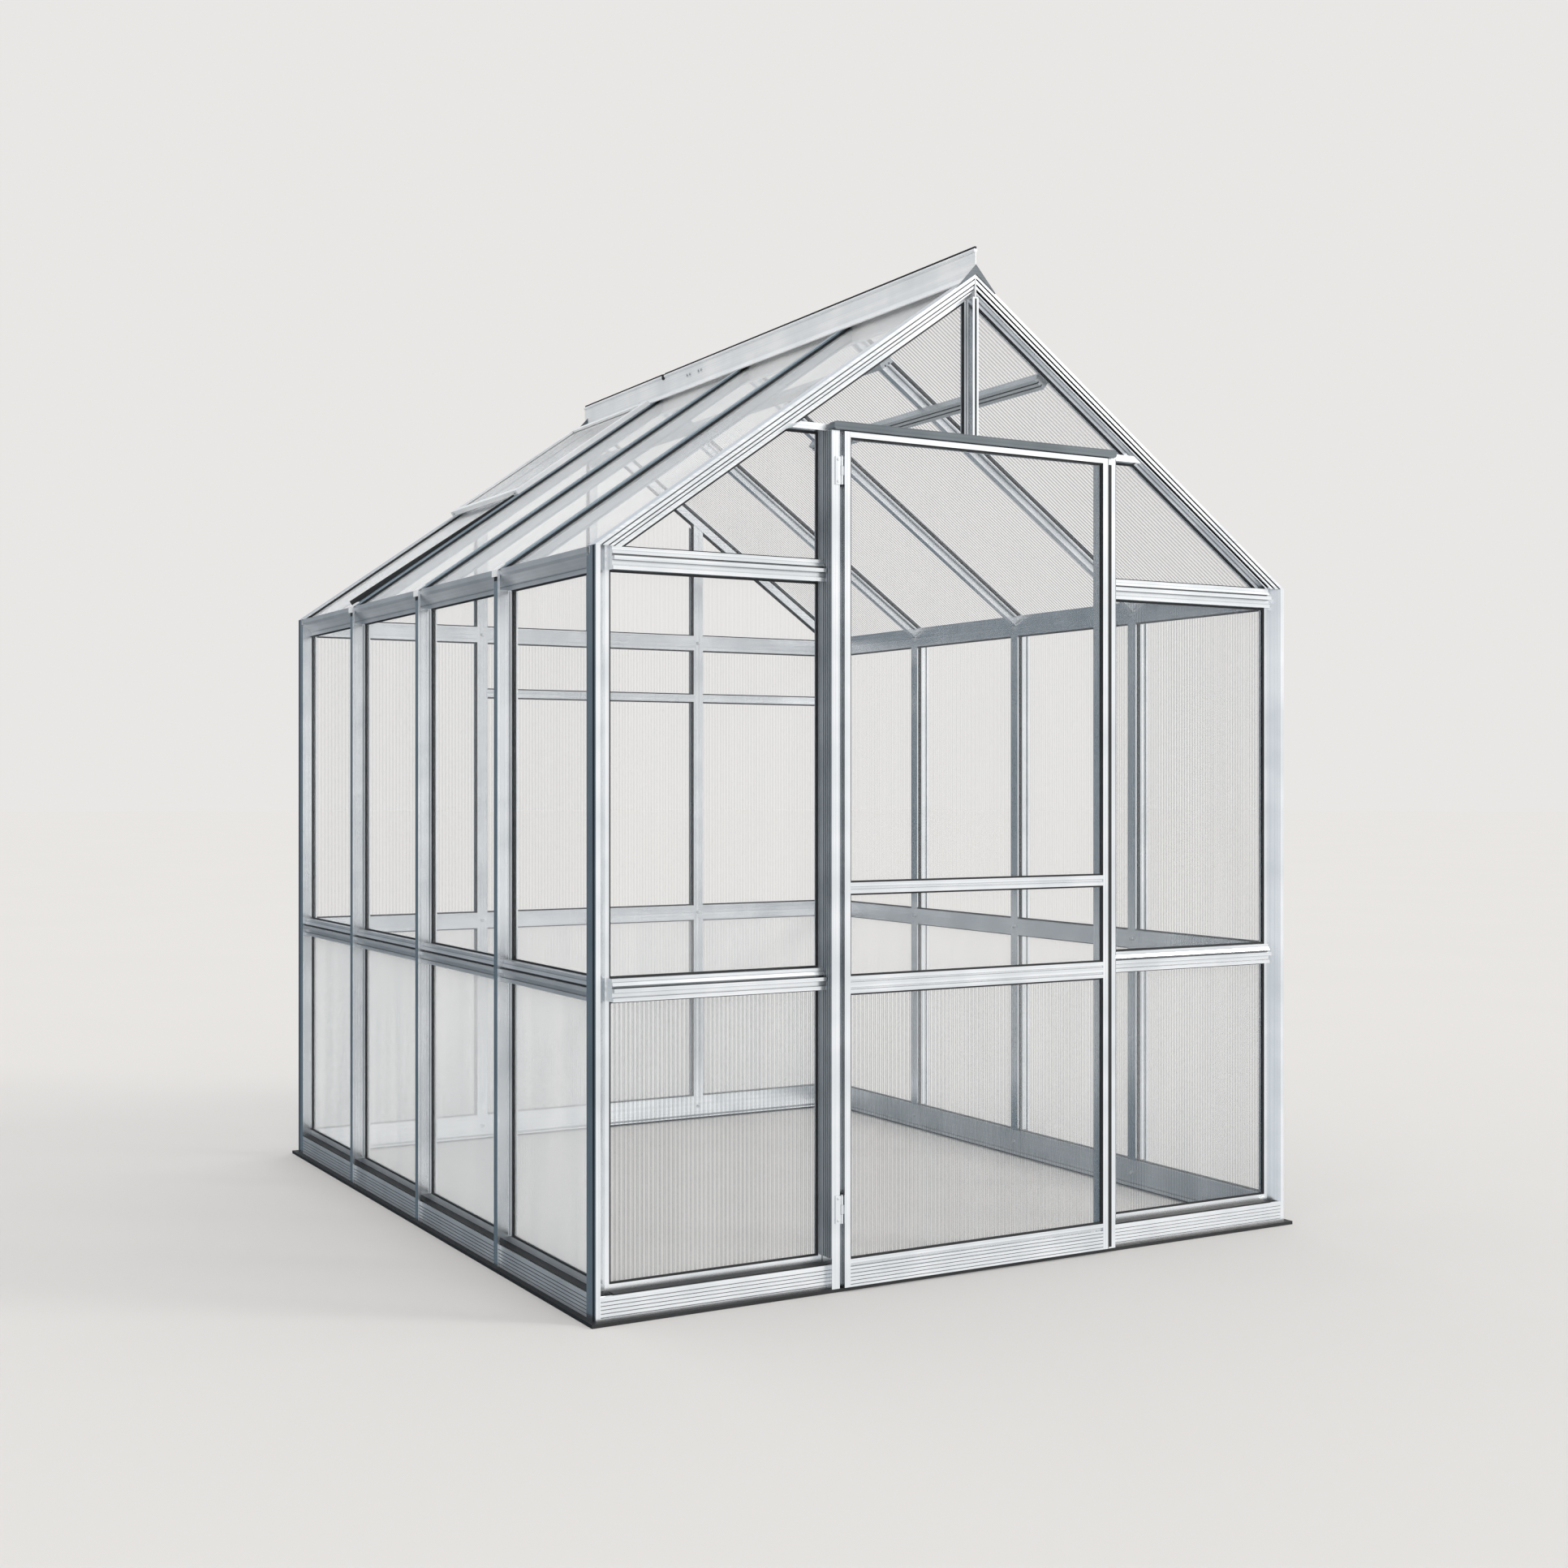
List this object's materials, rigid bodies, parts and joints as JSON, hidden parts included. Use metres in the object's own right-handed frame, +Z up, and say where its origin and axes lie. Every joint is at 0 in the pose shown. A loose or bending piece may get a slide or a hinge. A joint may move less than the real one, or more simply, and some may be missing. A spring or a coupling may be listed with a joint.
{
  "type": "walk-in greenhouse",
  "caption": "Walk-in hobby greenhouse: aluminium frame with polycarbonate panes, a hinged door in the front gable and a hinged roof vent.",
  "frame": {"origin": "middle of the footprint, on the ground under the ground strips", "axes": "+Z up, +Y along the ridge from the door gable to the rear gable, +X to the right seen from the door"},
  "size_m": [1.93, 2.218, 2.34],
  "materials": {
    "satin_aluminium": "satin",
    "dark_anodised_aluminium": "matt",
    "twin_wall_polycarbonate": "clear",
    "black_seal_rubber": "matt",
    "black_plastic_strip": "matt",
    "zinc_plated_steel": "satin"
  },
  "bodies": {
    "frame": {"back_posts": "satin_aluminium", "back_window_rail": "satin_aluminium", "bar_end_caps": "satin_aluminium", "base_rail_left": "satin_aluminium", "base_rail_right": "satin_aluminium", "base_rails_gables": "satin_aluminium", "corner_post_back_left": "satin_aluminium", "corner_post_back_right": "satin_aluminium", "corner_post_front_left": "satin_aluminium", "corner_post_front_right": "satin_aluminium", "door_drip_cap": "dark_anodised_aluminium", "door_head": "satin_aluminium", "door_hinge_brackets": "satin_aluminium", "door_hinge_pins": "zinc_plated_steel", "door_jamb_closing_side": "satin_aluminium", "door_jamb_hinge_side": "satin_aluminium", "door_sill": "satin_aluminium", "eave_beam_left": "satin_aluminium", "eave_beam_right": "satin_aluminium", "frame_nuts": "zinc_plated_steel", "gable_mullions": "satin_aluminium", "gable_panes": "twin_wall_polycarbonate", "gable_rafters_back": "satin_aluminium", "gable_rafters_front": "satin_aluminium", "gable_rails": "satin_aluminium", "girts_gables": "satin_aluminium", "girts_left": "satin_aluminium", "girts_right": "satin_aluminium", "glazing_gaskets": "black_seal_rubber", "ground_strip": "black_plastic_strip", "jamb_liners": "dark_anodised_aluminium", "lower_panes_left": "twin_wall_polycarbonate", "lower_panes_right": "twin_wall_polycarbonate", "panes_back": "twin_wall_polycarbonate", "panes_front": "twin_wall_polycarbonate", "purlins": "dark_anodised_aluminium", "ridge_beam": "satin_aluminium", "ridge_end_plates": "dark_anodised_aluminium", "roof_bars_left": "satin_aluminium", "roof_bars_right": "satin_aluminium", "roof_panes_left": "twin_wall_polycarbonate", "roof_panes_right": "twin_wall_polycarbonate", "side_posts_left": "satin_aluminium", "side_posts_right": "satin_aluminium", "upper_panes_left": "twin_wall_polycarbonate", "upper_panes_right": "twin_wall_polycarbonate", "vent_brackets": "satin_aluminium", "vent_hinge_rod": "zinc_plated_steel", "vent_trimmer": "satin_aluminium"},
    "door": {"door_stiles": "satin_aluminium", "door_top_rail": "satin_aluminium", "door_hand_rail": "satin_aluminium", "door_mid_rail": "satin_aluminium", "door_kick_plate": "satin_aluminium", "door_panes": "twin_wall_polycarbonate", "door_gaskets": "black_seal_rubber", "door_hinge_knuckles": "satin_aluminium"},
    "vent_sash": {"vent_sash": "satin_aluminium", "vent_pane": "twin_wall_polycarbonate"},
    "vent_stay": {"vent_stay": "zinc_plated_steel"}
  },
  "joints": [
    {"name": "door_hinge", "type": "hinge", "parent": "frame", "child": "door", "pos_m": [-0.37, -1.103, 0.99], "axis": [0, 0, -1], "range_deg": [0, 105]},
    {"name": "vent_hinge", "type": "hinge", "parent": "frame", "child": "vent_sash", "pos_m": [-0.04516, 0.8025, 2.25895], "axis": [0, 1, 0], "range_deg": [0, 35]},
    {"name": "stay_pivot", "type": "hinge", "parent": "vent_sash", "child": "vent_stay", "pos_m": [-0.43784, 0.81, 1.95786], "axis": [0, 1, 0], "range_deg": [0, 70]}
  ],
  "couplings": [
    {"joint": "stay_pivot", "follows": "vent_hinge", "ratio": 2}
  ]
}
